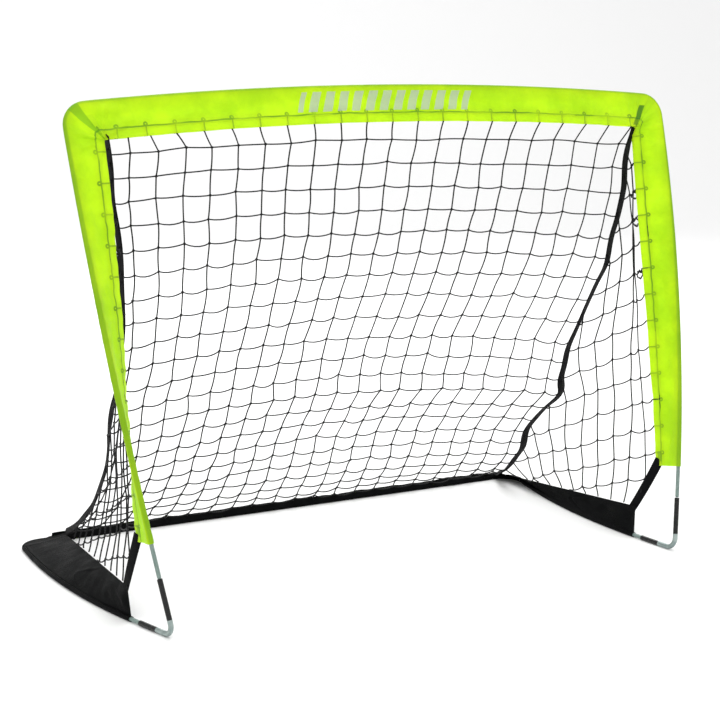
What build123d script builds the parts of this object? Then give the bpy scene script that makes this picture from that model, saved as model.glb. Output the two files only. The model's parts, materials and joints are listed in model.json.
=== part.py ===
from build123d import *
import math
import os

# A portable children's soccer goal. A closed ring of plug-in poles carries a fabric sleeve, a knotted
# net and black webbing: two posts and an arched crossbar make the hoop, which leans back, and two side
# rails and a rear rail lie on the ground. The poles come apart at ferrules and a shock cord runs
# through them. Millimetres, +X to the right, +Y to the back, +Z up. The origin is on the ground, in
# the middle of the goal's length and depth.

# ---- overall size
TOP_HALF = 585.0          # crossbar's virtual corner, from the middle
TOP_Z = 825.0
TOP_SETBACK = 202.0       # the hoop leans back this far
FOOT_Y = -310.1           # the front feet's virtual corner
REAR_Y = 615.0 + FOOT_Y
REAR_HALF = 551.0
RAIL_Z = 4.8              # centre of the ground poles

# ---- poles
ROD_D, ROD_BORE = 7.0, 4.4
TUBE_D, TUBE_BORE = 8.5, 7.4
ELBOW_D, ELBOW_BORE = 9.0, 6.0
FERRULE_D, FERRULE_BORE = 9.0, 7.1
PLUG_L = 22.0             # how far a rod goes into a socket
ROD_GAP = 1.0             # between two rod ends inside a ferrule
ROOT_L = 3.0              # a spigot's root inside its elbow
INNER_FERRULE_D = 8.4     # the ferrule that hides in the rear hem
CORD_D = 2.4

# ---- hoop
LEAN_TOP = math.radians(17.6)
SPLAY_TOP = math.radians(2.4)
CROSSBAR_SLOPE = math.radians(4.3)
TOP_BEND_R = 38.0
TOP_LEG = 30.0
MOUTH = (513.5, FOOT_Y + 18.0, 100.0)   # where a post plugs into its ferrule
POST_FERRULE_L = 70.0
NOSE_DROP = 3.3           # the ferrule's rim is this far below the post's round nose centre
SPIGOT_L = 34.0

# ---- feet and ground poles
FOOT_BEND_R = 18.0
FOOT_LEG = 22.0
GROUND_FERRULE_L = 46.0
SIDE_BOW = {-1: 25.0, 1: -24.0}         # outward bow of the side rails: they are springy and lie unevenly
REAR_BEND_R = 40.0
REAR_LEG = 26.0
LONG_FERRULE_L = 90.0     # at the middle of the crossbar and of the rear rail

# ---- fabric
SLEEVE_W = 61.0           # from the rod's centre to the inner edge
SLEEVE_TUBE_R, SLEEVE_BORE_R = 5.3, 4.65
SLEEVE_T = 2.0
SLEEVE_SHARE = 0.911      # how far down the post's arc the sleeve reaches
TWIST = {-1: 84.0, 1: 82.0}             # the post sleeves turn this far, inner edge towards the back
TWIST_PACE = {-1: 1.15, 1: 0.75}        # how the turn builds up on the way down: under 1 is early
TWIST_EASE = 0.1                        # share of the sleeve over which it starts
TUNNEL_W, TUNNEL_H = 10.6, 10.1
HEM_BORE = 8.9
GUSSET_T = 0.7
SKIRT_T = 1.6
SKIRT_H = 60.0
SKIRT_START = 112.0       # behind the front feet
SKIRT_END = 0.998         # share of the side rail's arc, just short of the corner pocket
SKIRT_STATIONS = 6
NET_T = 1.2
WEB_W, WEB_T = 20.0, 1.5
FRONT_WEB_W = 18.0
NET_FOOT = {-1: 466.0, 1: 511.0}        # the back net's lower corners, from the middle
HEM_H = 17.0              # rear hem above the ground
HEM_TOP_W = 3.0           # where the rear hem is sewn flat
FABRIC_GAP = 3.0          # between a net and the fabric it hangs from
GAP = 0.4
BLADE_STATIONS = [k / 10 for k in range(11)]

SIDES = {-1: "left", 1: "right"}
os.makedirs("parts", exist_ok=True)


def save(builder, name):
    builder.part.label = name
    export_step(builder.part, f"parts/{name}.step")


def side_name(base, s):
    return f"{base}_{SIDES[s]}"


def round_bar(edges, outer, bore=0.0, mode=Mode.ADD):
    """A round bar or tube along joined edges, made in the current part."""
    path = Wire(edges)
    with BuildSketch(Plane(origin=path @ 0, z_dir=path % 0)) as section:
        Circle(outer / 2)
        if bore:
            Circle(bore / 2, mode=Mode.SUBTRACT)
    sweep(section.sketch, path=path, mode=mode)


def flat_hem(edges, width, height, bore):
    """A fabric tunnel with a flat underside on the ground, round a ground pole."""
    path = Wire(edges)
    across = Vector(0, 0, 1).cross(path % 0)
    with BuildSketch(Plane(origin=path @ 0, x_dir=across, z_dir=path % 0)) as section:
        with Locations((0, height / 2 - RAIL_Z)):
            Rectangle(width, height)
        Circle(bore / 2, mode=Mode.SUBTRACT)
    sweep(section.sketch, path=path)


def tube(name, edges, outer, bore=0.0):
    with BuildPart() as piece:
        round_bar(edges, outer, bore)
    save(piece, name)


def strip(name, start, end, width_dir, width, thickness):
    """A flat strap from one point to another."""
    along = (end - start).normalized()
    with BuildPart() as piece:
        with BuildSketch(Plane(origin=start, x_dir=width_dir, z_dir=along)):
            Rectangle(width, thickness)
        extrude(amount=(end - start).length)
    save(piece, name)


def reversed_arc(edge):
    return Edge.make_three_point_arc(edge @ 1, edge @ 0.5, edge @ 0)


def share(edge, length):
    return length / edge.length


# ---- the hoop's plane: local X to the right, local Y up along the lean
hoop_plane = Plane(
    origin=(0, FOOT_Y + TOP_SETBACK, TOP_Z),
    x_dir=(1, 0, 0),
    z_dir=(0, -math.cos(LEAN_TOP), math.sin(LEAN_TOP)),
)


def hoop_point(u, v):
    return hoop_plane.from_local_coords(Vector(u, v, 0))


up_post = (math.sin(SPLAY_TOP), math.cos(SPLAY_TOP))
to_middle = (-math.cos(CROSSBAR_SLOPE), math.sin(CROSSBAR_SLOPE))
turn = math.acos(up_post[0] * to_middle[0] + up_post[1] * to_middle[1])
tangent_l = TOP_BEND_R * math.tan(turn / 2)


def corner_points(s):
    """The hoop's upper corner: end of the post leg, start and end of the bend, end of the crossbar leg."""
    reach = (-tangent_l - TOP_LEG, -tangent_l)
    low, start = (hoop_point(s * (TOP_HALF + up_post[0] * r), up_post[1] * r) for r in reach)
    finish, end = (
        hoop_point(s * (TOP_HALF + to_middle[0] * r), to_middle[1] * r) for r in (tangent_l, tangent_l + TOP_LEG)
    )
    return low, start, finish, end


corner = {s: corner_points(s) for s in SIDES}
post_up = {s: (corner[s][1] - corner[s][0]).normalized() for s in SIDES}
bar_in = {s: (corner[s][3] - corner[s][2]).normalized() for s in SIDES}
mouth = {s: Vector(s * MOUTH[0], MOUTH[1], MOUTH[2]) for s in SIDES}
post_arc = {s: Edge.make_tangent_arc(corner[s][0], -post_up[s], mouth[s]) for s in SIDES}
foot_down = {s: (post_arc[s] % 1).normalized() for s in SIDES}
top_bend = {s: Edge.make_tangent_arc(corner[s][1], post_up[s], corner[s][2]) for s in SIDES}
crossbar_arc = Edge.make_tangent_arc(corner[-1][3], bar_in[-1], corner[1][3])
crown = crossbar_arc @ 0.5

# ---- the feet and the ground poles
foot_corner = {}
ground_dir = {}
for s in SIDES:
    drop = (mouth[s].Z - RAIL_Z) / -foot_down[s].Z
    foot_corner[s] = mouth[s] + foot_down[s] * drop
    run = Vector(s * REAR_HALF - foot_corner[s].X, REAR_Y - foot_corner[s].Y, 0)
    ground_dir[s] = (run + Vector(4 * s * SIDE_BOW[s], 0, 0)).normalized()


def foot_points(s):
    """An elbow's bend start and end, and the two ends of its ground leg and ferrule."""
    angle = math.radians((-foot_down[s]).get_angle(ground_dir[s]))
    reach = FOOT_BEND_R / math.tan(angle / 2)
    start = foot_corner[s] - foot_down[s] * reach
    end = foot_corner[s] + ground_dir[s] * reach
    leg = end + ground_dir[s] * FOOT_LEG
    return start, end, leg, leg + ground_dir[s] * GROUND_FERRULE_L


foot = {s: foot_points(s) for s in SIDES}


def rear_points(s):
    """A side rail's end, then the rear corner's bend end and the end of its rear leg.

    The rail's arc is fixed by its front end, so its rear end and the bend are found together.
    """
    virtual = Vector(s * REAR_HALF, REAR_Y, RAIL_Z)
    inwards = Vector(-s, 0, 0)
    heading = Vector(0, 1, 0)
    for _ in range(12):
        reach = REAR_BEND_R * math.tan(math.radians(heading.get_angle(inwards)) / 2)
        start = virtual - heading * reach
        heading = (Edge.make_tangent_arc(foot[s][3], ground_dir[s], start) % 1).normalized()
    end = virtual + inwards * reach
    return start, end, end + inwards * REAR_LEG


rear = {s: rear_points(s) for s in SIDES}
side_arc = {s: Edge.make_tangent_arc(foot[s][3], ground_dir[s], rear[s][0]) for s in SIDES}
rear_bend = {s: Edge.make_tangent_arc(rear[s][0], side_arc[s] % 1, rear[s][1]) for s in SIDES}

# ======== poles ========
for s in SIDES:
    low, start, finish, end = corner[s]
    tube(
        side_name("top_corner", s),
        [Edge.make_line(low, start), top_bend[s], Edge.make_line(finish, end)],
        TUBE_D,
        TUBE_BORE,
    )

    # The post rod plugs into the top corner. Its lower end is a round nose on the ferrule's mouth.
    with BuildPart() as post:
        round_bar([Edge.make_line(low + post_up[s] * PLUG_L, low), post_arc[s]], ROD_D)
        with Locations(mouth[s]):
            Sphere(ROD_D / 2)
        nose = mouth[s] + foot_down[s] * ROD_D
        round_bar([Edge.make_line(low + post_up[s] * PLUG_L, low), post_arc[s], Edge.make_line(mouth[s], nose)],
                  ROD_BORE, mode=Mode.SUBTRACT)
    save(post, side_name("post_rod", s))

    # half of the crossbar, from the corner's socket to the middle ferrule
    half = reversed_arc(crossbar_arc) if s > 0 else crossbar_arc
    stop = 0.5 - share(half, ROD_GAP / 2)
    tube(
        side_name("crossbar_rod", s),
        [Edge.make_line(end - bar_in[s] * PLUG_L, end), half.trim(0, stop)],
        ROD_D,
        ROD_BORE,
    )

ferrule_share = share(crossbar_arc, LONG_FERRULE_L / 2)
tube("crossbar_ferrule", [crossbar_arc.trim(0.5 - ferrule_share, 0.5 + ferrule_share)], FERRULE_D, FERRULE_BORE)

for s in SIDES:
    start, end, leg, ferrule_end = foot[s]
    low = mouth[s] + foot_down[s] * POST_FERRULE_L
    high = mouth[s] + foot_down[s] * NOSE_DROP
    tube(side_name("post_ferrule", s), [Edge.make_line(low, high)], FERRULE_D, FERRULE_BORE)
    tube(side_name("ground_ferrule", s), [Edge.make_line(leg, ferrule_end)], FERRULE_D, FERRULE_BORE)

    # The elbow: a bent tube with a thinner spigot at each end, which goes into the ferrule.
    bend = Edge.make_tangent_arc(start, foot_down[s], end)
    upper = low - foot_down[s] * SPIGOT_L
    lower = leg + ground_dir[s] * (GROUND_FERRULE_L - PLUG_L - ROD_GAP)
    with BuildPart() as elbow:
        round_bar([Edge.make_line(low, start), bend, Edge.make_line(end, leg)], ELBOW_D, ELBOW_BORE)
        round_bar([Edge.make_line(upper, low + foot_down[s] * ROOT_L)], ROD_D, ROD_BORE)
        round_bar([Edge.make_line(leg - ground_dir[s] * ROOT_L, lower)], ROD_D, ROD_BORE)
    save(elbow, side_name("front_elbow", s))

    tube(
        side_name("side_rail", s),
        [Edge.make_line(ferrule_end - ground_dir[s] * PLUG_L, ferrule_end), side_arc[s]],
        ROD_D,
        ROD_BORE,
    )
    socket = side_arc[s].trim(1 - share(side_arc[s], REAR_LEG), 1)
    tube(
        side_name("rear_corner", s),
        [socket, rear_bend[s], Edge.make_line(rear[s][1], rear[s][2])],
        TUBE_D,
        TUBE_BORE,
    )
    middle = Vector(s * ROD_GAP / 2, REAR_Y, RAIL_Z)
    plug = rear[s][1] - Vector(s * (REAR_LEG - PLUG_L), 0, 0)
    tube(side_name("rear_rod", s), [Edge.make_line(plug, middle)], ROD_D, ROD_BORE)

half_ferrule = Vector(LONG_FERRULE_L / 2, 0, 0)
rear_middle = Vector(0, REAR_Y, RAIL_Z)
tube(
    "rear_ferrule",
    [Edge.make_line(rear_middle - half_ferrule, rear_middle + half_ferrule)],
    INNER_FERRULE_D,
    FERRULE_BORE,
)

# ======== shock cord, which runs inside the poles and pulls the joints together ========
for s in SIDES:
    low, start, finish, end = corner[s]
    half = reversed_arc(crossbar_arc) if s > 0 else crossbar_arc
    tube(
        side_name("hoop_cord", s),
        [
            reversed_arc(post_arc[s]),
            Edge.make_line(low, start),
            top_bend[s],
            Edge.make_line(finish, end),
            half.trim(0, 0.5 - share(half, 1)),
        ],
        CORD_D,
    )
    start, end, leg, ferrule_end = foot[s]
    tube(
        side_name("ground_cord", s),
        [
            Edge.make_line(mouth[s] + foot_down[s] * (NOSE_DROP + 2), start),
            Edge.make_tangent_arc(start, foot_down[s], end),
            Edge.make_line(end, ferrule_end),
            side_arc[s],
            rear_bend[s],
            Edge.make_line(rear[s][1], Vector(s, REAR_Y, RAIL_Z)),
        ],
        CORD_D,
    )

# ======== sleeves over the hoop ========


def inner_corner(s):
    """The crossbar sleeve's lower corner, where the post sleeve begins."""
    u, v = TOP_HALF - up_post[0] * tangent_l, -up_post[1] * tangent_l
    return s * (u - up_post[1] * SLEEVE_W), v + up_post[0] * SLEEVE_W


crown_v = hoop_plane.to_local_coords(crown).Y
hoop_path = [
    top_bend[-1],
    Edge.make_line(corner[-1][2], corner[-1][3]),
    crossbar_arc,
    Edge.make_line(corner[1][3], corner[1][2]),
    reversed_arc(top_bend[1]),
]
inner_right, inner_left = hoop_point(*inner_corner(1)), hoop_point(*inner_corner(-1))
inner_edge = Edge.make_three_point_arc(inner_right, hoop_point(0, crown_v - SLEEVE_W), inner_left)

with BuildPart() as crossbar_sleeve:
    outline = Wire(
        hoop_path
        + [Edge.make_line(corner[1][1], inner_right), inner_edge, Edge.make_line(inner_left, corner[-1][1])]
    )
    extrude(Face(outline), amount=SLEEVE_T / 2, both=True)
    round_bar(hoop_path, 2 * SLEEVE_TUBE_R)
    round_bar(hoop_path, 2 * SLEEVE_BORE_R, mode=Mode.SUBTRACT)
save(crossbar_sleeve, "crossbar_sleeve")


def twist_at(s, t):
    """How far the post sleeve has turned towards the back, at a share t of its length from the top."""
    x = min(t / TWIST_EASE, 1)
    return math.radians(TWIST[s]) * t ** TWIST_PACE[s] * x * x * (3 - 2 * x)


def blade(s, t):
    """The post sleeve's blade at a share t of the sleeve: a point on the rod, the rod's way, the blade's way."""
    top_part = TOP_LEG / (TOP_LEG + post_arc[s].length * SLEEVE_SHARE)
    if t <= top_part:
        point, way = corner[s][1] - post_up[s] * TOP_LEG * t / top_part, -post_up[s]
    else:
        along = (t - top_part) / (1 - top_part) * SLEEVE_SHARE
        point, way = post_arc[s] @ along, (post_arc[s] % along).normalized()
    inwards = Vector(-s, 0, 0)
    inwards = (inwards - way * inwards.dot(way)).normalized()
    backwards = way.cross(inwards) * s
    backwards = backwards if backwards.Y > 0 else backwards * -1
    angle = twist_at(s, t)
    return point, way, inwards * math.cos(angle) + backwards * math.sin(angle)


root_x = math.sqrt(SLEEVE_TUBE_R**2 - (SLEEVE_T / 2) ** 2)
for s in SIDES:
    with BuildPart() as sleeve:
        for t in BLADE_STATIONS:
            point, way, across = blade(s, t)
            with BuildSketch(Plane(origin=point, x_dir=across, z_dir=way)):
                with BuildLine():
                    ThreePointArc((root_x, SLEEVE_T / 2), (-SLEEVE_TUBE_R, 0), (root_x, -SLEEVE_T / 2))
                    Polyline(
                        (root_x, -SLEEVE_T / 2),
                        (SLEEVE_W, -SLEEVE_T / 2),
                        (SLEEVE_W, SLEEVE_T / 2),
                        (root_x, SLEEVE_T / 2),
                    )
                make_face()
        loft()
        covered = [
            Edge.make_line(corner[s][1] + post_up[s], corner[s][0]),
            post_arc[s].trim(0, SLEEVE_SHARE + share(post_arc[s], 1)),
        ]
        round_bar(covered, 2 * SLEEVE_BORE_R, mode=Mode.SUBTRACT)
    save(sleeve, side_name("post_sleeve", s))

# ======== nets and their webbing ========
hem_top = HEM_H + GAP
inner_u, inner_v = inner_corner(1)
strap_top = {s: hoop_point(s * (inner_u - WEB_W / 2 - 3), inner_v - 9) for s in SIDES}
strap_foot = {s: Vector(s * NET_FOOT[s] - s * WEB_W / 2, REAR_Y, hem_top + 4) for s in SIDES}
net_plane = Plane(
    origin=(0, REAR_Y, hem_top + 1),
    x_dir=(1, 0, 0),
    z_dir=Vector(1, 0, 0).cross(strap_top[1] - strap_foot[1] - Vector((strap_top[1] - strap_foot[1]).X, 0, 0)),
)


def in_plane(plane, point):
    local = plane.to_local_coords(point)
    return local.X, local.Y


with BuildPart() as back_net:
    with BuildSketch(net_plane):
        with BuildLine():
            feet = {s: (s * (NET_FOOT[s] - WEB_W - GAP), GAP) for s in SIDES}
            high = {s: in_plane(net_plane, hoop_point(s * (inner_u - WEB_W - 2 * GAP), inner_v - FABRIC_GAP)) for s in SIDES}
            middle = in_plane(net_plane, hoop_point(0, crown_v - SLEEVE_W - FABRIC_GAP))
            Polyline(high[-1], feet[-1], feet[1], high[1])
            ThreePointArc(high[1], middle, high[-1])
        make_face()
    extrude(amount=NET_T / 2, both=True)
save(back_net, "back_net")

for s in SIDES:
    along = strap_top[s] - strap_foot[s]
    strip(
        side_name("edge_strap", s),
        strap_foot[s],
        strap_top[s],
        net_plane.z_dir.cross(along),
        WEB_W,
        WEB_T,
    )

# ======== skirts on the side rails ========
skirt_front = {}
skirt_top_front = {}
for s in SIDES:
    near = min((k / 400 for k in range(400)), key=lambda t: abs((side_arc[s] @ t).Y - FOOT_Y - SKIRT_START))
    skirt_front[s] = near
    base = side_arc[s] @ near
    skirt_top_front[s] = base + Vector(s * 4, 7, SKIRT_H - RAIL_Z)


def skirt_line(s, y):
    """The skirt's upper edge at a given depth: straight from its front corner to the net's lower corner."""
    a, b = skirt_top_front[s], Vector(s * NET_FOOT[s], REAR_Y, HEM_H + 2)
    return a + (b - a) * ((y - a.Y) / (b.Y - a.Y))


for s in SIDES:
    with BuildPart() as skirt:
        for k in range(SKIRT_STATIONS + 1):
            t = skirt_front[s] + (SKIRT_END - skirt_front[s]) * k / SKIRT_STATIONS
            low = side_arc[s] @ t
            high = skirt_line(s, low.Y)
            with BuildSketch(Plane(origin=(0, low.Y, 0), x_dir=(1, 0, 0), z_dir=(0, -1, 0))):
                with BuildLine():
                    Polyline(
                        (low.X - SKIRT_T / 2, RAIL_Z + SLEEVE_BORE_R + 0.2),
                        (low.X + SKIRT_T / 2, RAIL_Z + SLEEVE_BORE_R + 0.2),
                        (high.X + SKIRT_T / 2, high.Z),
                        (high.X - SKIRT_T / 2, high.Z),
                        close=True,
                    )
                make_face()
        loft(ruled=True)
        flat_hem([side_arc[s].trim(skirt_front[s], SKIRT_END)], TUNNEL_W, TUNNEL_H, HEM_BORE)
    save(skirt, side_name("skirt", s))

    # the pocket round the rear corner, with the gusset that fills the corner up to the net
    start, end, leg = rear[s]
    with BuildPart() as pocket:
        flat_hem([rear_bend[s], Edge.make_line(end, leg)], TUNNEL_W, TUNNEL_H, HEM_BORE)
        front_y = REAR_Y - TUNNEL_W / 2 - GAP
        inner_x = s * min(NET_FOOT[s], abs(leg.X) - GAP)
        with BuildSketch(Plane.XY.offset(TUNNEL_H - GUSSET_T)):
            with BuildLine():
                Polyline(
                    (start.X - s * 2, start.Y),
                    (end.X, end.Y),
                    (leg.X, leg.Y),
                    (leg.X, front_y),
                    (inner_x, front_y),
                    close=True,
                )
            make_face()
        extrude(amount=GUSSET_T)
    save(pocket, side_name("corner_pocket", s))

# ======== rear hem ========
hem_start, hem_end = rear[-1][2] + Vector(GAP, 0, 0), rear[1][2] - Vector(GAP, 0, 0)
with BuildPart() as rear_hem:
    with BuildSketch(Plane(origin=hem_start, x_dir=(0, 1, 0), z_dir=(1, 0, 0))):
        with BuildLine():
            Polyline(
                (-TUNNEL_W / 2, -RAIL_Z),
                (TUNNEL_W / 2, -RAIL_Z),
                (TUNNEL_W / 2, TUNNEL_H - RAIL_Z),
                (HEM_TOP_W / 2, HEM_H - RAIL_Z),
                (-HEM_TOP_W / 2, HEM_H - RAIL_Z),
                (-TUNNEL_W / 2, TUNNEL_H - RAIL_Z),
                close=True,
            )
        make_face()
        Circle(HEM_BORE / 2, mode=Mode.SUBTRACT)
    extrude(amount=(hem_end - hem_start).length)
save(rear_hem, "rear_hem")

# ======== side nets and front straps ========
for s in SIDES:
    low_edge, far = skirt_top_front[s] + Vector(0, 0, 5), skirt_line(s, REAR_Y - 40)
    sleeve_foot, _, across = blade(s, 1)
    sleeve_low = sleeve_foot + across * (SLEEVE_W - FRONT_WEB_W / 2) + Vector(0, 0, -8)
    side_plane = Plane(origin=low_edge, x_dir=far - low_edge, z_dir=(far - low_edge).cross(strap_top[s] - low_edge))
    up_edge = []
    for t in BLADE_STATIONS[::-1]:
        point, _, across = blade(s, t)
        x, y = in_plane(side_plane, point + across * SLEEVE_W)
        up_edge.append((x + 6, y))
    strap_line = [in_plane(side_plane, p) for p in (strap_foot[s], strap_top[s])]
    slope = (strap_line[1][0] - strap_line[0][0]) / (strap_line[1][1] - strap_line[0][1])
    top_y = strap_line[1][1] - 12
    rear_x = strap_line[0][0] - 8
    front_low = FRONT_WEB_W / 2 + 3
    with BuildPart() as side_net:
        with BuildSketch(side_plane):
            with BuildLine():
                Polyline(
                    (front_low, 4),
                    *[(x, y) for x, y in up_edge if 20 < y < top_y - 30],
                    (strap_line[1][0] - 14, top_y),
                    (rear_x + slope * 30, 34),
                    (rear_x - 24, 4),
                    close=True,
                )
            make_face()
        extrude(amount=NET_T / 2, both=True)
    save(side_net, side_name("side_net", s))
    strip(
        side_name("front_strap", s),
        low_edge,
        sleeve_low,
        side_plane.z_dir.cross(sleeve_low - low_edge),
        FRONT_WEB_W,
        WEB_T,
    )
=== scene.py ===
"""A portable children's soccer goal: its fabric, net, webbing and materials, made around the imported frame."""

import json
import math

import bpy
import numpy as np
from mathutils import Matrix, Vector, kdtree


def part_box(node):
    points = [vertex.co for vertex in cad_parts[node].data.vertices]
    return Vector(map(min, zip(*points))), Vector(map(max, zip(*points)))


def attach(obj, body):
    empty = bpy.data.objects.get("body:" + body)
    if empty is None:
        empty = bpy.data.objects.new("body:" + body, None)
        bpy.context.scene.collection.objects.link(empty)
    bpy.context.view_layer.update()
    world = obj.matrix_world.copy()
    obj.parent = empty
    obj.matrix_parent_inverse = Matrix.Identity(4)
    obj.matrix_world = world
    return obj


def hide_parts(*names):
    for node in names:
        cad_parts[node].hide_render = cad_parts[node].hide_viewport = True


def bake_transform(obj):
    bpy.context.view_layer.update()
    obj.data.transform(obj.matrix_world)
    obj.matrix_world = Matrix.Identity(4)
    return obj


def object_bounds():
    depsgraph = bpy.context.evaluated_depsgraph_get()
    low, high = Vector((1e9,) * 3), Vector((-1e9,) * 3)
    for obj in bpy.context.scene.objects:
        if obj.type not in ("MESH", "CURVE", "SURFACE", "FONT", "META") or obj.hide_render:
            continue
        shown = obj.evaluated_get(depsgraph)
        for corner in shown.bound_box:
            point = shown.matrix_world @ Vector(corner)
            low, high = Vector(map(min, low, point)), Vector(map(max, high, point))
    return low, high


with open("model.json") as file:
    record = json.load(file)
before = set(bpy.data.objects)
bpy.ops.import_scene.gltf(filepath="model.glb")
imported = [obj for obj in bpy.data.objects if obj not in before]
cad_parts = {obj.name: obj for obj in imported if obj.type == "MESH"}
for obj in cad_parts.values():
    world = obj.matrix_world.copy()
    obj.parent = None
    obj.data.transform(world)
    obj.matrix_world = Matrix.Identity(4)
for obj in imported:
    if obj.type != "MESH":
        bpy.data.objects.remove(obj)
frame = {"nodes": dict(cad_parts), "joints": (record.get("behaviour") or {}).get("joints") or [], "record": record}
cad_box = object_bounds()
SIDES = {-1: "left", 1: "right"}

# ---- sizes, in metres and radians
SLEEVE_W = 0.061          # from the rod's centre to the sleeve's inner edge
SLEEVE_R = 0.0049         # the fabric round the rod
SLEEVE_HEM = 0.0145       # the sewn double fold along the inner edge
BEND_R = 0.038            # the hoop's upper corners
# the post sleeves turn this far, inner edge towards the back, and how the turn builds up on the way down
TWIST = {-1: math.radians(90), 1: math.radians(87)}
TWIST_PACE = {-1: 1.15, 1: 0.75}
TWIST_EASE = 0.1          # share of the sleeve over which the turn starts
REAR_BEND_R = 0.040       # the rear corners of the ground frame
BORDER = 0.016            # the net's border cord runs this far inside the inner edge
KNOT_PITCH = 0.0509       # along the crossbar
FIRST_KNOT = -0.505       # the border's first knot, from the middle
COLUMNS = 21
ROWS = 22.35              # rows of mesh from the border cord to the rear hem
SIDE_PITCH = 0.0488       # mesh of the side nets, up a post
SIDE_TOP = 0.019          # the side nets' first knot is this far below the inner corner
TWINE_R = 0.0013
WEB_W, WEB_T = 0.020, 0.0016
FRONT_WEB_W = 0.018
SKIRT_H = 0.060
SKIRT_TUNNEL_R, TUNNEL_R = 0.0047, 0.0048      # fabric round a ground pole: in the skirts, and elsewhere
ROD_R = 0.0035
FOLD = math.radians(max(abs(a) for a in frame["joints"][0]["range_deg"]))
HINGE = np.array(frame["joints"][0]["pos_m"], float)
UP = np.array([0, 0, 1.0])
TO_RIGHT = np.array([1.0, 0, 0])

rng = np.random.default_rng(7)


# ======== reading the frame ========
def section(node, axis, value):
    """The centre of a CAD piece where the plane axis = value cuts its mesh."""
    mesh = frame["nodes"][node].data
    co = np.array([v.co for v in mesh.vertices], float)
    ends = np.array([e.vertices[:] for e in mesh.edges])
    a, b = co[ends[:, 0]], co[ends[:, 1]]
    cut = (a[:, axis] - value) * (b[:, axis] - value) < 0
    a, b = a[cut], b[cut]
    points = a + (b - a) * ((value - a[:, axis]) / (b[:, axis] - a[:, axis]))[:, None]
    return (points.min(0) + points.max(0)) / 2


def fitted_line(node, axis, values, order):
    """A function of one coordinate that gives the centre of a tube, smooth along its length."""
    centres = np.array([section(node, axis, v) for v in values])
    fits = [np.polyfit(values, centres[:, k], order) for k in range(3)]
    return lambda x: np.stack([np.polyval(f, x) for f in fits], axis=-1)


def unit(v):
    return v / np.linalg.norm(v, axis=-1, keepdims=True)


def smooth(x):
    x = np.clip(x, 0, 1)
    return x * x * (3 - 2 * x)


def near(x, centre, width):
    return np.exp(-(((x - centre) / width) ** 2))


def arclength(points):
    steps = np.linalg.norm(np.diff(points, axis=0), axis=1)
    return np.concatenate([[0], np.cumsum(steps)])


def read_off(x, xs, points):
    """The points of a polyline at x, where xs are its own points' values of x."""
    return np.stack([np.interp(x, xs, points[:, k]) for k in range(3)], axis=-1)


def resample(points, spacing):
    """Evenly spaced points along a polyline, and how far along each one is."""
    along = arclength(points)
    n = max(2, round(along[-1] / spacing) + 1)
    at = np.linspace(0, along[-1], n)
    return read_off(at, along, points), at


def bend_at(corner, way_in, way_out, radius, count):
    """Points round a bend, which goes into the corner one way and out of it another."""
    turn = math.acos(way_in @ way_out)
    across = unit(way_out - way_in * (way_in @ way_out))
    angles = np.linspace(0, turn, count)[:, None]
    start = corner - way_in * radius * math.tan(turn / 2)
    return start + radius * (np.sin(angles) * way_in + (1 - np.cos(angles)) * across)


def tangents(points):
    return unit(np.gradient(points, axis=0))


# ---- the hoop's centreline on one side, from the crossbar's middle to the end of the post sleeve
def corner_of(s):
    """The upper corner: the way up the post, the way in along the crossbar, and the bend's points."""
    node = f"top_corner_{SIDES[s]}"
    low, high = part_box(node)
    inner = low.x if s > 0 else high.x
    a, b = section(node, 2, low.z + 0.004), section(node, 2, low.z + 0.022)
    c, d = section(node, 0, inner + s * 0.022), section(node, 0, inner + s * 0.004)
    up, inwards = unit(b - a), unit(d - c)
    # the point where the two legs would meet
    between = c - a
    dot = up @ inwards
    reach = ((between @ up) - (between @ inwards) * dot) / (1 - dot * dot)
    corner = a + up * reach
    return up, inwards, bend_at(corner, up, inwards, BEND_R, 25), corner


corners = {s: corner_of(s) for s in SIDES}
hoop_front = unit(np.cross([1.0, 0, 0], (corners[-1][0] + corners[1][0]) / 2 * [0, 1, 1]))


def half_hoop(s):
    up, inwards, bend, _ = corners[s]
    name = SIDES[s]
    bar_end = abs(bend[-1][0]) - 0.032
    bar = fitted_line(f"crossbar_rod_{name}", 0, s * np.linspace(0.03, bar_end, 12), 4)
    sleeve_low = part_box(f"post_sleeve_{name}")[0].z + 0.004
    post_high = bend[0][2] - 0.03
    post = fitted_line(f"post_rod_{name}", 2, np.linspace(sleeve_low - 0.02, post_high, 14), 3)
    xs = s * np.linspace(0, bar_end, 80)
    zs = np.linspace(post_high, sleeve_low, 90)
    return bar(xs), bend[::-1], post(zs)


halves = {s: half_hoop(s) for s in SIDES}


def inner_corner(s):
    """Where the inner edges of the crossbar sleeve and the post sleeve meet."""
    up, inwards, _, corner = corners[s]
    apart = math.acos(-up @ inwards)
    return corner + SLEEVE_W / math.sin(apart) * (inwards - up)


inner = {s: inner_corner(s) for s in SIDES}


def edge_points(points, s, on_post):
    """The sleeve's inner edge beside points of the hoop, before the post sleeve's twist."""
    way = tangents(points)
    if s < 0:
        way = -way
    inwards = unit(np.cross(way, hoop_front))
    edge = points + inwards * SLEEVE_W
    up, bar_in = corners[s][0], corners[s][1]
    if on_post:
        past = (edge - inner[s]) @ up > 0
    else:
        past = (edge - inner[s]) @ bar_in < 0
    edge[past] = inner[s]
    return edge


def twisted(points, s):
    """The post sleeve's inner edge, which turns towards the back on the way down."""
    way = tangents(points)
    across = edge_points(points, s, True) - points
    along = way * np.sum(across * way, axis=1, keepdims=True)
    square = across - along
    width = np.linalg.norm(square, axis=1, keepdims=True)
    square = unit(square)
    back = np.cross(way, square) * s
    back = np.where(back[:, 1:2] > 0, back, -back)
    share = arclength(points) / arclength(points)[-1]
    angle = (TWIST[s] * share ** TWIST_PACE[s] * smooth(share / TWIST_EASE))[:, None]
    return points + along + (square * np.cos(angle) + back * np.sin(angle)) * width


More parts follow.
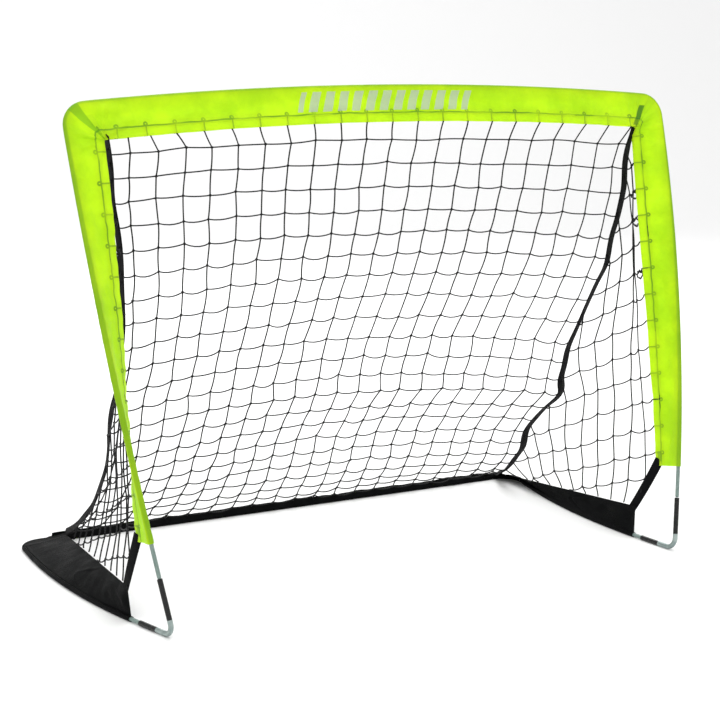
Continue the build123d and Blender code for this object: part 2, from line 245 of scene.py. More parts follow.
bar_line, post_line, bar_edge, post_edge = {}, {}, {}, {}
for s in SIDES:
    bar, bend, post = halves[s]
    middle = len(bend) // 2
    bar_line[s], _ = resample(np.concatenate([bar, bend[: middle + 1]]), 0.003)
    post_line[s], _ = resample(np.concatenate([bend[middle:], post]), 0.003)
    bar_edge[s] = edge_points(bar_line[s], s, False)
    post_edge[s] = twisted(post_line[s], s)
    on_bend = post_line[s][:, 2] > bend[-1][2]
    post_edge[s][on_bend] = inner[s]


# ======== building meshes ========
def waves(shape_at, amplitude, seed, terms=6):
    """A smooth seeded field over (n, 2) coordinates: a sum of a few waves near a size of 1."""
    r = np.random.default_rng(seed)
    out = np.zeros(len(shape_at))
    for _ in range(terms):
        way = r.uniform(0, 2 * math.pi)
        pace = r.uniform(0.6, 1.8)
        out += np.sin((shape_at @ [math.cos(way), math.sin(way)]) * pace * 2 * math.pi + r.uniform(0, 6.3))
    return amplitude * out / math.sqrt(terms)


def link(name, vertices, faces, **uv_maps):
    mesh = bpy.data.meshes.new(name)
    mesh.from_pydata(np.asarray(vertices).tolist(), [], list(faces))
    loops = np.zeros(len(mesh.loops), int)
    mesh.loops.foreach_get("vertex_index", loops)
    for key, values in uv_maps.items():
        layer = mesh.uv_layers.new(name=key)
        layer.data.foreach_set("uv", np.asarray(values, float)[loops].ravel())
    mesh.shade_smooth()
    mesh.update()
    obj = bpy.data.objects.new(name, mesh)
    bpy.context.scene.collection.objects.link(obj)
    return obj


def grid_faces(rows, cols, start=0, wrap=False):
    """Quads between rows of cols points; wrap joins each row's last point to its first."""
    r, c = np.meshgrid(np.arange(rows - 1), np.arange(cols if wrap else cols - 1), indexing="ij")
    r, c = r.ravel(), c.ravel()
    n = (c + 1) % cols
    quads = [r * cols + c, r * cols + n, (r + 1) * cols + n, (r + 1) * cols + c]
    return (start + np.stack(quads, axis=1)).tolist()


def frames_along(points):
    """Two directions across a line that don't spin along it."""
    way = tangents(points)
    first = np.cross(way[0], [0.0, 0, 1] if abs(way[0][2]) < 0.9 else [1.0, 0, 0])
    side = [unit(first)]
    for t in way[1:]:
        side.append(unit(side[-1] - t * (side[-1] @ t)))
    side = np.array(side)
    return side, np.cross(way, side)


class Tubes:
    """Many round cords in one mesh, with how far along and how far round as UVs."""

    def __init__(self):
        self.vertices, self.faces, self.uvs, self.count = [], [], [], 0

    def add(self, points, radius, sides=6, closed=False):
        points = np.asarray(points, float)
        if closed:
            points = np.concatenate([points, points[:1]])
        a, b = frames_along(points)
        turn = np.linspace(0, 2 * math.pi, sides, endpoint=False)
        ring = np.cos(turn)[None, :, None] * a[:, None] + np.sin(turn)[None, :, None] * b[:, None]
        self.vertices.append((points[:, None] + ring * radius).reshape(-1, 3))
        along = np.repeat(arclength(points), sides)
        self.uvs.append(np.stack([along, np.tile(turn / (2 * math.pi), len(points))], axis=1))
        self.faces += [quad[::-1] for quad in grid_faces(len(points), sides, self.count, wrap=True)]
        last = self.count + (len(points) - 1) * sides
        self.faces.append(list(range(self.count, self.count + sides)))
        self.faces.append(list(range(last, last + sides))[::-1])
        self.count += len(points) * sides

    def make(self, name):
        return link(name, np.concatenate(self.vertices), self.faces, UVMap=np.concatenate(self.uvs))


# ======== sleeves ========
def sleeve_profile():
    """The sleeve's section: how far from the rod's centre, how high off the middle plane, how far round."""
    flat_h, flat_from = 0.0006, 0.024
    flat = np.linspace(SLEEVE_W, flat_from, 15)
    reach = math.hypot(flat_from, flat_h)
    tangent = math.atan2(flat_h, flat_from) + math.acos(SLEEVE_R / reach)
    touch = np.array([SLEEVE_R * math.cos(tangent), SLEEVE_R * math.sin(tangent)])
    slope = np.linspace([flat_from, flat_h], touch, 6)[1:]
    arc = np.linspace(tangent, math.pi, 9)[1:]
    w = np.concatenate([flat, slope[:, 0], SLEEVE_R * np.cos(arc)])
    h = np.concatenate([np.full(len(flat), flat_h), slope[:, 1], SLEEVE_R * np.sin(arc)])
    w, h = np.concatenate([w, w[-2::-1]]), np.concatenate([h, -h[-2::-1]])
    return w, h, np.concatenate([[0], np.cumsum(np.hypot(np.diff(w), np.diff(h)))])


def from_inner_corner(points):
    """Each point's side, and its place from the inner corner: up the post, and in along the crossbar."""
    side = np.where(points[:, 0] < 0, -1, 1)
    up, inwards = np.zeros(len(points)), np.zeros(len(points))
    for s in SIDES:
        here = side == s
        up[here] = (points[here] - inner[s]) @ corners[s][0]
        inwards[here] = (points[here] - inner[s]) @ corners[s][1]
    return side, up, inwards


def corner_pleats(side, up, inwards, w):
    """Pleats that run out from the inner corners."""
    reach = np.hypot(up, inwards)
    angle = np.arctan2(up, -inwards)
    pleat = 0.0016 * np.sin(angle * 9 + side * 1.7 + np.sin(angle * 4)) * smooth(reach / 0.02)
    return pleat * smooth(1.35 - reach / 0.075) * smooth(w / 0.012)


def cord_ridge(w, counts):
    """How far the border cord, its knots and their short ends push the cloth out."""
    to_knot = np.abs(counts - np.round(counts)) * KNOT_PITCH
    cord = 0.0010 * near(w, SLEEVE_W - BORDER, 0.0026)
    knots = 0.0011 * near(to_knot, 0, 0.0034) * near(w, SLEEVE_W - BORDER - 0.001, 0.0040)
    ends = 0.0007 * near(to_knot, 0, 0.0022) * smooth((w - SLEEVE_W + BORDER) / 0.002)
    return cord + knots + ends


def cloth_height(u, v, w, h, pleat, seed):
    """How far the cloth stands off the sleeve's middle plane: section, slack, gathers, hem and pleats."""
    between = smooth(w / 0.012) * smooth((SLEEVE_W - SLEEVE_HEM - w) / 0.012)
    where = np.stack([u / 0.085, v / 0.05], axis=1)
    billow = np.where(h > 0, waves(where, 0.0015, seed), waves(where, 0.0012, seed + 1))
    gather = waves(np.stack([u / 0.030, v / 0.16], axis=1), 0.00045, seed + 2)
    gather = np.where(w < 0.02, np.maximum(gather, 0), gather)
    hem = 0.0004 * smooth((w - (SLEEVE_W - SLEEVE_HEM)) / 0.0015)
    thick = np.abs(h)
    height = thick + np.maximum(billow * between, 0.0002 - 0.8 * thick) + gather * smooth(w / 0.004 + 1)
    return np.maximum(height + hem + np.abs(pleat), 0.00025)


def sleeve(name, line, edge, count, start, seed, lift=0.0):
    """A strip of fabric folded over the rod, its two long edges sewn together along the inner edge.

    count goes up by one from each knot of the border cord to the next."""
    profile_w, profile_h, round_it = sleeve_profile()
    stations, points = len(line), len(profile_w)

    def each(values):
        return np.repeat(values, points, axis=0)

    width = np.linalg.norm(edge - line, axis=1)
    across = unit(edge - line)
    off = unit(np.cross(across, tangents(line)))
    u, counts = each(start + arclength(line)), each(count)
    v, w, h = (np.tile(values, stations) for values in (round_it, profile_w, profile_h))
    side, up, inwards = from_inner_corner(each(line) + each(across) * w[:, None])
    pleat = corner_pleats(side, up, inwards, w)
    height = cloth_height(u, v, w, h, pleat, seed) + cord_ridge(w, counts) + lift
    height = np.where(np.abs(h) < 1e-9, 0, height * np.sign(h))
    sag = waves(np.stack([u / 0.10, u * 0], axis=1), 0.0009, seed + 3) * smooth((w - 0.02) / 0.04)
    reach = np.where(w > 0, w * each(np.maximum(width / SLEEVE_W, 0.05)), w)
    places = each(line) + each(across) * reach[:, None] + each(off) * (height + sag + 0.6 * pleat)[:, None]
    return link(
        name,
        places,
        grid_faces(stations, points),
        UVMap=np.stack([u, v], axis=1),
        knots=np.stack([counts, np.abs(u)], axis=1),
        corner=np.stack([up, inwards], axis=1),
    )


bar_points = np.concatenate([bar_line[-1][::-1], bar_line[1][1:]])
bar_edges = np.concatenate([bar_edge[-1][::-1], bar_edge[1][1:]])
half_length = arclength(bar_line[1])[-1]
bar_count = (bar_points[:, 0] - FIRST_KNOT) / KNOT_PITCH
bar_lift = 0.0004         # the crossbar's sleeve laps over the posts' sleeves
crossbar_sleeve = sleeve(
    "lime_crossbar_sleeve", bar_points, bar_edges, bar_count, -half_length, seed=11, lift=bar_lift
)
post_sleeves = {}
for s in SIDES:
    line, edge = post_line[s], post_edge[s]
    start = half_length
    if s < 0:
        line, edge = line[::-1], edge[::-1]
        start = -half_length - arclength(line)[-1]
    count = (inner[s][2] - SIDE_TOP - edge[:, 2]) / SIDE_PITCH
    post_sleeves[s] = sleeve(f"lime_post_sleeve_{SIDES[s]}", line, edge, count, start, 31 + 10 * s)
full_length = half_length + arclength(post_line[1])[-1]


# ======== straps and the net's surface ========
def bow(v, amount, skew):
    return amount * 4 * v * (1 - v) * (1 + skew * (v - 0.5))


# how each edge strap bows from its chord: inwards, and down and forwards, each with its skew
STRAP_BOW = {-1: (0.0443, -0.97, 0.0736, 2.97), 1: (0.0389, 6.5, 0.1138, 2.54)}
# where each strap is pulled aside by the nets: how far down, how far to the right and forwards, over how long
STRAP_KINKS = {
    -1: [(0.15, -0.005, 0, 0.06), (0.60, -0.010, 0, 0.09)],
    1: [
        (0.18, -0.020, 0.032, 0.16),
        (0.07, -0.011, 0, 0.09),
        (0.33, 0.006, 0, 0.035),
        (0.485, -0.016, 0, 0.055),
        (0.62, 0.014, 0, 0.03),
        (0.75, -0.018, 0, 0.06),
        (0.75, 0.030, -0.033, 0.13),
    ],
}
NET_BELLY = (-0.038, 1.97)
ARCH = 0.018
hem_low, hem_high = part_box("rear_hem")
hem_y = (hem_low.y + hem_high.y) / 2
strap_ends = {}
for s in SIDES:
    node = f"edge_strap_{SIDES[s]}"
    low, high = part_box(node)
    foot = section(node, 2, low.z + 0.012)
    foot = np.array([foot[0] + s * WEB_W / 2, hem_y, hem_high.z - 0.003])
    top = inner[s] + np.array([0, 0, 0.013])
    strap_ends[s] = (top, foot)
chord = unit(strap_ends[1][1] - strap_ends[1][0])
forward = unit(np.cross([1.0, 0, 0], chord * [0, 1, 1]))
forward = forward if forward[1] < 0 else -forward


def strap_point(s, v):
    """A point on an edge strap, v from 0 at the crossbar to 1 at the rear hem."""
    v = np.asarray(v, float)[..., None]
    top, foot = strap_ends[s]
    a, ka, b, kb = STRAP_BOW[s]
    aside = sum(right * near(v, at, length) for at, right, _, length in STRAP_KINKS[s])
    ahead = sum(forth * near(v, at, length) for at, _, forth, length in STRAP_KINKS[s])
    held = smooth(v / 0.06) * smooth((1 - v) / 0.06)
    sideways = aside * held - s * bow(v, a, ka)
    return top + (foot - top) * v + TO_RIGHT * sideways + forward * (bow(v, b, kb) + ahead * held)


def net_point(u, v):
    """A point of the back net: u across from the left strap to the right one, v down."""
    u, v = np.asarray(u, float), np.asarray(v, float)
    left, right = strap_point(-1, v), strap_point(1, v)
    mix = left + (right - left) * u[..., None]
    full = (4 * u * (1 - u))[..., None]
    arch = np.array([0, 0.3, 1.0]) * ARCH * full * (1 - v[..., None])
    return mix + forward * bow(v[..., None], *NET_BELLY) * full + arch


def row_v(j):
    t = j / ROWS
    return t + 0.178 * t * (1 - t)


def column_u(m, j):
    """How far across column m is at row j: the border's knots start further from the corners."""
    left = 0.42 + (0.90 - 0.42) * math.exp(-j / 3)
    right = 0.66 + (0.42 - 0.66) * math.exp(-j / 3)
    return (m + left) / (COLUMNS - 1 + left + right)


def border_point(x):
    """The border cord inside the crossbar sleeve, and the sleeve's inner edge below it, at x."""
    order = np.argsort(bar_edges[:, 0])
    edge = read_off(x, bar_edges[order, 0], bar_edges[order])
    rod = read_off(x, bar_points[:, 0], bar_points)
    up = unit(rod - edge)
    return edge + up * BORDER, edge


def sagged(points, sag, wobble, steps=5):
    """A cord through knots: it hangs a little between them and isn't quite even."""
    out = [points[0]]
    for a, b in zip(points[:-1], points[1:]):
        drop = sag * (1 + rng.uniform(-0.45, 0.45))
        lean = rng.uniform(-wobble, wobble, 3)
        peak = rng.uniform(0.38, 0.55)
        for k in range(1, steps + 1):
            t = k / steps
            hump = 4 * t * (1 - t) * (1 + (0.5 - peak) * 2 * (1 - 2 * t))
            out.append(a + (b - a) * t + np.array([0, -0.3 * drop, -drop]) * hump + lean * hump)
    return np.array(out)


def knot(tubes, at, normal, size=0.0017):
    """A small overhand knot, lying flat on the net's surface."""
    t = np.linspace(0, 2 * math.pi, 18, endpoint=False)
    x, y, z = np.sin(t) + 2 * np.sin(2 * t), np.cos(t) - 2 * np.cos(2 * t), -1.2 * np.sin(3 * t)
    turn = rng.uniform(0, 2 * math.pi)
    a = unit(np.cross(normal, [math.cos(turn), math.sin(turn), 0.3]))
    b = np.cross(normal, a)
    curve = np.outer(x, a) + np.outer(y, b) + np.outer(z, normal)
    tubes.add(at + size / 3 * curve, TWINE_R * 0.95, 5, closed=True)


back = Tubes()
knots = Tubes()
rows = int(ROWS)
grid = np.zeros((COLUMNS, rows + 1, 3))
for m in range(COLUMNS):
    grid[m, 0] = border_point(FIRST_KNOT + KNOT_PITCH * m + 0.022 * math.exp(-m / 1.2))[1]
    for j in range(1, rows + 1):
        jitter = rng.normal(0, 0.0013, 3)
        grid[m, j] = net_point(column_u(m, j), row_v(j)) + jitter
for m in range(COLUMNS):
    hem = net_point(column_u(m, ROWS), 1.0)
    back.add(sagged(np.concatenate([grid[m], hem[None]]), 0.0, 0.0011), TWINE_R)
for j in range(1, rows + 1):
    ends = strap_point(-1, row_v(j)), strap_point(1, row_v(j))
    cord = np.concatenate([[ends[0]], grid[:, j], [ends[1]]])
    back.add(sagged(cord, 0.0035 * smooth((j - 0.5) / 5), 0.0010), TWINE_R)
for m in range(COLUMNS):
    for j in range(1, rows + 1):
        knot(knots, grid[m, j], forward)

# ---- the side nets
skirt_corner = {}
for s in SIDES:
    low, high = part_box(f"skirt_{SIDES[s]}")
    x = section(f"skirt_{SIDES[s]}", 1, low.y + 0.012)[0]
    skirt_corner[s] = np.array([x + s * 0.002, low.y + 0.008, high.z])


def skirt_top(s, y):
    """The skirt's straight upper edge, from its front corner to the foot of the edge strap."""
    a, b = skirt_corner[s], strap_ends[s][1]
    t = (np.asarray(y, float) - a[1]) / (b[1] - a[1])
    return a + (b - a) * t[..., None] if np.ndim(t) else a + (b - a) * t


class SideNet:
    """The space of one side net: the sleeve's edge and front strap, the edge strap, and the skirt's top."""

    def __init__(self, s):
        self.s = s
        edge = post_edge[s]
        edge = edge[edge[:, 2] < inner[s][2] - 1e-4]
        self.front = np.concatenate([[inner[s]], edge, [skirt_corner[s]]])[::-1]
        self.rear = strap_point(s, np.linspace(0, 1, 80))[::-1]
        self.low = skirt_corner[s][2]

    def bounds(self, z):
        """The front and rear points at one height."""
        rear = read_off(z, self.rear[:, 2], self.rear)
        if z < self.low:
            a, b = skirt_corner[self.s], strap_ends[self.s][1]
            return a + (b - a) * ((z - a[2]) / (b[2] - a[2])), rear
        return read_off(z, self.front[:, 2], self.front), rear

    def point(self, y, z):
        front, rear = self.bounds(z)
        t = (y - front[1]) / (rear[1] - front[1] or 1)
        out = front + (rear - front) * t
        out[1], out[2] = y, z
        return out

    def inside(self, y, z, room):
        front, rear = self.bounds(z)
        return front[1] + room < y < rear[1] - room and z > skirt_top(self.s, y)[2] + room

    def span(self, a, b):
        """The part of the straight line from a to b, as (y, z), that lies on this net."""
        t = np.linspace(0, 1, 400)
        inside = [self.inside(*(a + (b - a) * k), 0.0005) for k in t]
        kept = t[np.array(inside)]
        return (kept[0], kept[-1]) if len(kept) > 3 else None


UPRIGHT_PITCH = 0.0425
FIRST_UPRIGHT = -0.014    # behind the skirt's front corner
UPRIGHT_LEAN = (0.167, 0.08, 0.067, 0.044, 0.03, 0.03, 0.01)   # towards the rear, going up
LOW_SLOPE, SLOPE_RISE = 0.344, 0.53    # how steeply a cross cord falls to the rear, by its height
SLOPE_FROM = 0.155        # the height where the slope is the low one
CROSS_REACH = 0.65        # longer than any cross cord
CURLED = (2, 3, 5)        # cross cords that curl where they leave the sleeve
CURL_R = 0.0072


def net_lines(s, net):
    """A side net's uprights and cross cords, as straight lines between two places (y, z)."""
    front_y, top_z = skirt_corner[s][1], inner[s][2]
    lines = {}
    for k in range(11):
        y = front_y + FIRST_UPRIGHT + UPRIGHT_PITCH * k
        low = np.array([y, skirt_top(s, y)[2] if y > front_y else net.low])
        lean = UPRIGHT_LEAN[min(k, len(UPRIGHT_LEAN) - 1)]
        lines["up", k] = low, np.array([y + lean * (top_z - low[1]), top_z])
    for r in range(14):
        z = top_z - SIDE_TOP - SIDE_PITCH * r
        start = np.array([net.bounds(z)[0][1] + 0.001, z])
        slope = LOW_SLOPE + SLOPE_RISE * (z - SLOPE_FROM)
        lines["across", r] = start, start + CROSS_REACH * np.array([1, -slope])
    return lines


def meet(one, other):
    """How far along each of two straight lines they cross, or -1 where they never do."""
    (p, q), (c, d) = one, other
    m = np.array([q - p, c - d]).T
    return np.linalg.solve(m, c - p) if abs(np.linalg.det(m)) > 1e-9 else (-1, -1)


def side_net(s):
    """The cords of one side net, and the knots where they cross."""
    net = SideNet(s)
    cords, loops = Tubes(), Tubes()
    lines = net_lines(s, net)
    spans = {key: net.span(*line) for key, line in lines.items()}
    spans = {key: span for key, span in spans.items() if span}
    met = {key: [] for key in spans}
    pairs = [(up, across) for up in spans for across in spans if (up[0], across[0]) == ("up", "across")]
    for up, across in pairs:
        (low, high), one, two = lines[up], spans[up], spans[across]
        a, b = meet(lines[up], lines[across])
        if one[0] + 0.01 < a < one[1] - 0.004 and two[0] < b < two[1] - 0.004:
            at = net.point(*(low + (high - low) * a)) + rng.normal(0, 0.0014, 3) + TO_RIGHT * s * 0.004
            met[up].append((a, at))
            met[across].append((b, at))
            knot(loops, at, TO_RIGHT)
    for (kind, i), span in spans.items():
        start, end = lines[kind, i]
        first, last = (net.point(*(start + (end - start) * t)) for t in span)
        on_it = sorted(met[kind, i], key=lambda item: item[0])
        path = np.array([first, *(at for _, at in on_it), last])
        if kind == "up":
            slack = 0.0055 * smooth((start[0] - skirt_corner[s][1] - 0.22) / 0.15)
            cords.add(slack_upright(path, slack, net.low), TWINE_R)
            continue
        if i in CURLED:
            path = np.concatenate([curl(path[0], path[1]), path[1:]])
        cords.add(sagged(path, 0.0032, 0.001), TWINE_R)
    return cords, loops


def curl(a, b):
    """Points from a that go once round in a small loop on the way to b."""
    turn = np.linspace(0, 2 * math.pi, 9)[1:-1]
    middle = a + (b - a) * 0.3
    ring = [middle - CURL_R * (np.sin(t) * TO_RIGHT + (1 - np.cos(t)) * UP) for t in turn]
    return np.array([a, middle, *ring, middle + unit(b - a) * 0.002])


def slack_upright(path, slack, low):
    """An upright cord: straight above, and in loose curves low down near the rear."""
    out = [path[0]]
    for a, b in zip(path[:-1], path[1:]):
        loose = slack * float(smooth(1 - ((a[2] + b[2]) / 2 - low - 0.05) / 0.16))
        lean = rng.uniform(-0.001, 0.001, 3) + np.array([0.2, rng.uniform(0.5, 1.2), 0]) * loose
        for k in range(1, 6):
            t = k / 5
            out.append(a + (b - a) * t + lean * 4 * t * (1 - t))
    return np.array(out)


side_cords, side_knots = {}, {}
for s in SIDES:
    side_cords[s], side_knots[s] = side_net(s)


# ---- the border cord, its knots and the short ends that leave the sleeve
def border():
    """The cord that runs inside the sleeves, knotted at each mesh, with the short ends that leave them."""
    tubes = Tubes()
    xs = [FIRST_KNOT + KNOT_PITCH * m for m in range(COLUMNS)]
    line = [border_point(x)[0] for x in [-0.518, *xs, 0.519]]
    tubes.add(sagged(np.array(line), 0.0006, 0.0006), TWINE_R * 0.7)
    for x in xs:
        at, edge = border_point(x)
        knot(tubes, at, hoop_front, 0.0013)
        tubes.add(np.linspace(at, edge, 4), TWINE_R * 0.7)
    for s in SIDES:
        edge = post_edge[s]
        line = edge + unit(post_line[s] - edge) * BORDER
        low = line[:, 2] < inner[s][2] - 0.01
        tubes.add(sagged(line[low][::12], 0.0, 0.0006, 3), TWINE_R * 0.7)
        for r in range(13):
            z = inner[s][2] - SIDE_TOP - SIDE_PITCH * r
            k = int(np.argmin(np.abs(edge[:, 2] - z)))
            normal = unit(np.cross(edge[k] - post_line[s][k], UP))
            knot(tubes, line[k], normal, 0.0013)
            tubes.add(np.linspace(line[k], edge[k], 4), TWINE_R * 0.7)
    return tubes


net_border = border().make("net_border_cord")


# ======== straps ========
def ribbon(name, centre, across, width, thickness, seed):
    """A strip of webbing with rounded edges, a little uneven along its length."""
    sides = 16
    way = tangents(centre)
    across = unit(across - way * np.sum(across * way, axis=1, keepdims=True))
    off = np.cross(way, across)
    turn = np.linspace(0, 2 * math.pi, sides, endpoint=False) + math.pi / sides
    x = np.sign(np.cos(turn)) * np.abs(np.cos(turn)) ** 0.35 * width / 2
    z = np.sign(np.sin(turn)) * np.abs(np.sin(turn)) ** 0.8 * thickness / 2
    along = arclength(centre)
    camber = waves(np.stack([along / 0.12, along * 0], axis=1), 0.0011, seed)
    cup = camber[:, None] * (1 - (2 * x / width) ** 2)
    rings = centre[:, None] + across[:, None] * x[:, None] + off[:, None] * (z + cup)[:, :, None]
    last = (len(centre) - 1) * sides
    faces = grid_faces(len(centre), sides, wrap=True)
    faces += [list(range(sides))[::-1], list(range(last, last + sides))]
    uvs = np.stack([np.repeat(along, sides), np.tile(x, len(centre))], axis=1)
    return link(name, rings.reshape(-1, 3), faces, UVMap=uvs)


# how far each edge strap turns from lying in the back net, from the crossbar to the rear hem
STRAP_TURN = {-1: [75, 77, 83, 96, 105, 130], 1: [22, 20, 24, 16, 12, 0]}
straps = {}
for s in SIDES:
    v = np.linspace(0.004, 1.0, 130)
    line = strap_point(s, v)
    kink = waves(np.stack([v * 7, v * 0], axis=1), 0.0022, 50 + s)
    line = line + forward * (kink * smooth(v * 6) * smooth((1 - v) * 6))[:, None]
    turn = np.radians(np.interp(v, np.linspace(0, 1, 6), STRAP_TURN[s]))[:, None]
    lies = -s * TO_RIGHT * np.cos(turn) + forward * np.sin(turn)
    across = np.cross(np.cross(chord, lies), tangents(line))
    straps[s] = ribbon(f"edge_strap_webbing_{SIDES[s]}", line, across, WEB_W, WEB_T, 60 + s)

front_straps = {}
for s in SIDES:
    edge, rod = post_edge[s][-1], post_line[s][-1]
    top = edge + unit(rod - edge) * 0.008 + np.array([0, 0, 0.012])
    low = skirt_corner[s] + np.array([0, 0.008, -0.012])
    t = np.linspace(0, 1, 24)[:, None]
    line = top + (low - top) * t + np.array([s * 0.5, 0, -1]) * 0.002 * 4 * t * (1 - t)
    across = s * (unit(np.cross(low - top, TO_RIGHT)) + TO_RIGHT * (0.5 - 0.4 * t))
    front_straps[s] = ribbon(f"front_strap_webbing_{SIDES[s]}", line, across, FRONT_WEB_W, WEB_T, 70 + s)


# ======== black fabric on the ground poles ========
REAR_RAIL_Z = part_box("rear_rod_left")[0].z + ROD_R


def rail_line(s, count):
    """The side rail's centre, front to back."""
    node = f"side_rail_{SIDES[s]}"
    low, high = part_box(node)
    ys = np.linspace(low.y + 0.02, high.y - 0.03, 12)
    line = fitted_line(node, 1, ys, 4)
    span = np.linspace(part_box(f"skirt_{SIDES[s]}")[0].y + 0.001, high.y - 0.004, count)
    return line(span)


def skirt(s):
    """The skirt: fabric from the net's lower edge down round the side rail, sewn to itself above the rail."""
    stations, upper, sides = 130, 26, 24
    rail = rail_line(s, stations)
    along = arclength(rail)
    top = skirt_top(s, rail[:, 1])
    top[:, 2] = np.maximum(top[:, 2], rail[:, 2] + 0.010)
    turn = np.radians(np.linspace(90, 90 + 356, sides))
    ring = SKIRT_TUNNEL_R * np.stack([s * np.cos(turn), turn * 0, np.sin(turn)], axis=1)
    down = np.linspace(0, 1, upper)
    cloth, uvs = [], []
    for k in range(stations):
        join = rail[k] + UP * SKIRT_TUNNEL_R
        cloth.append(np.concatenate([top[k] + (join - top[k]) * down[:, None], (rail[k] + ring)[1:]]))
        height = np.linalg.norm(top[k] - join)
        round_it = np.concatenate([down * height, height + SKIRT_TUNNEL_R * (turn[1:] - turn[0])])
        uvs.append(np.stack([np.full(len(round_it), along[k]), round_it], axis=1))
    cloth = np.array(cloth)
    points = cloth.shape[1]
    t = np.concatenate([down, np.ones(points - upper)])[None, :]
    share = (along / along[-1])[:, None]
    height = np.linalg.norm(top - rail, axis=1)[:, None]
    belly = np.sin(math.pi * t)
    bulge = belly * np.minimum(height / SKIRT_H, 1) * smooth(share / 0.04)
    where = np.stack([np.repeat(along / 0.11, points), np.tile(t[0], stations) * 0.7], axis=1)
    slack = (waves(where, 0.0026, 80 + s) + waves(where * 3.1, 0.0007, 90 + s)).reshape(stations, points)
    crease_at = 0.42 + 0.06 * np.sin((t - 0.2) * 5)
    crease = 0.0042 * near(share, crease_at, 0.016) * belly**0.7 * np.minimum(height / 0.05, 1)
    cloth[:, :, 0] += s * ((0.004 + slack) * bulge + crease)
    faces = grid_faces(stations, points)
    return link(f"black_skirt_{SIDES[s]}", cloth.reshape(-1, 3), faces, UVMap=np.concatenate(uvs))


skirts = {s: skirt(s) for s in SIDES}


def rear_cloth():
    """The rear hem: fabric round the rear rail, narrowing to the sewn edge that holds the net."""
    stations, apart = 220, 0.0009
    xs = np.linspace(hem_low.x - 0.002, hem_high.x + 0.002, stations)
    side = np.linspace(0, 1, 7)[:, None]
    turn = np.radians(np.linspace(20, -200, 20))
    ring = np.stack([TUNNEL_R * np.cos(turn), REAR_RAIL_Z + TUNNEL_R * np.sin(turn)], axis=1)
    front_top, back_top = np.array([apart, hem_high.z]), np.array([-apart, hem_high.z])
    front = front_top + (ring[0] - front_top) * side
    behind = ring[-1] + (back_top - ring[-1]) * side
    profile = np.concatenate([front[:-1], ring, behind[1:]])
    along = xs - xs[0]
    upper = np.clip((profile[:, 1] - REAR_RAIL_Z) / (hem_high.z - REAR_RAIL_Z), 0, 1)

    def wave(length, amplitude, seed):
        return waves(np.stack([along / length, along * 0], axis=1), amplitude, seed)[:, None]

    lump = np.exp(-(((xs - 0.40) / 0.022) ** 4))[:, None]
    widen = 1 + (0.55 * lump + np.maximum(wave(0.05, 0.06, 103), -0.02)) * (1 - upper)
    cloth = np.zeros((stations, len(profile), 3))
    cloth[:, :, 0] = xs[:, None]
    cloth[:, :, 1] = hem_y + profile[:, 0] * widen + wave(0.09, 0.0012, 101) * upper
    raised = (wave(0.07, 0.0011, 102) + 0.002 * lump) * upper
    cloth[:, :, 2] = np.maximum(profile[:, 1] + raised, 0.0)
    length = np.concatenate([[0], np.cumsum(np.hypot(*np.diff(profile, axis=0).T))])
    uvs = np.stack([np.repeat(along, len(profile)), np.tile(length, stations)], axis=1)
    return link("black_rear_hem", cloth.reshape(-1, 3), grid_faces(stations, len(profile)), UVMap=uvs)


rear_hem = rear_cloth()


def pocket_path(s):
    """The middle of the ground pole round a rear corner, from the skirt's end to the rear hem's."""
    rail = rail_line(s, 40)
    start, way_in = rail[-1], unit(rail[-1] - rail[-4])
    corner = start + way_in * (hem_y - start[1]) / way_in[1]
    bend = bend_at(corner, way_in, -s * TO_RIGHT, REAR_BEND_R, 22)
    bend[:, 2] = REAR_RAIL_Z
    end = np.array([(hem_high.x if s > 0 else hem_low.x) + s * 0.002, hem_y, REAR_RAIL_Z])
    return resample(np.concatenate([[start], bend, [end]]), 0.003)


def pocket(s):
    """The pocket over a rear corner: fabric round the bend, and a gusset across to the net's corner."""
    path, along = pocket_path(s)
    sides = 24
    outwards = unit(np.cross(tangents(path), UP)) * s
    turn = np.radians(np.linspace(-266, 88, sides))[:, None]
    sewn = [skirt_top(s, path[0][1]), strap_ends[s][1]]
    if s > 0:
        sewn.append(np.array([path[-1][0], hem_y, hem_high.z - 0.002]))
    sewn = np.array(sewn)
    share = along / along[-1]
    sewn_at = np.minimum(share * 1.12, 1) * arclength(sewn)[-1]
    targets = read_off(sewn_at, arclength(sewn), sewn)
    hump = np.linspace(0, 1, 14)[1:, None]
    cloth = []
    for k, point in enumerate(path):
        ring = point + TUNNEL_R * (np.cos(turn) * outwards[k] + np.sin(turn) * UP)
        dip = 0.006 * math.sin(math.pi * share[k]) ** 2 * hump * (1 - hump)
        cloth.append(np.concatenate([ring, ring[-1] + (targets[k] - ring[-1]) * hump - UP * dip]))
    cloth = np.array(cloth)
    points = cloth.shape[1]
    u = np.repeat(along, points)
    where = np.stack([u / 0.03, np.tile(np.linspace(0, 1.2, points), len(path))], axis=1)
    wrinkle = waves(where, 0.0008, 110 + s).reshape(len(path), points)
    cloth[:, sides:, 2] += wrinkle[:, sides:]
    cloth[:, :, 2] = np.maximum(cloth[:, :, 2], 0.0)
    uvs = np.stack([u, np.tile(np.linspace(0, 0.1, points), len(path))], axis=1)
    faces = grid_faces(len(path), points)
    return link(f"black_corner_pocket_{SIDES[s]}", cloth.reshape(-1, 3), faces, UVMap=uvs)


pockets = {s: pocket(s) for s in SIDES}

# ======== materials ========


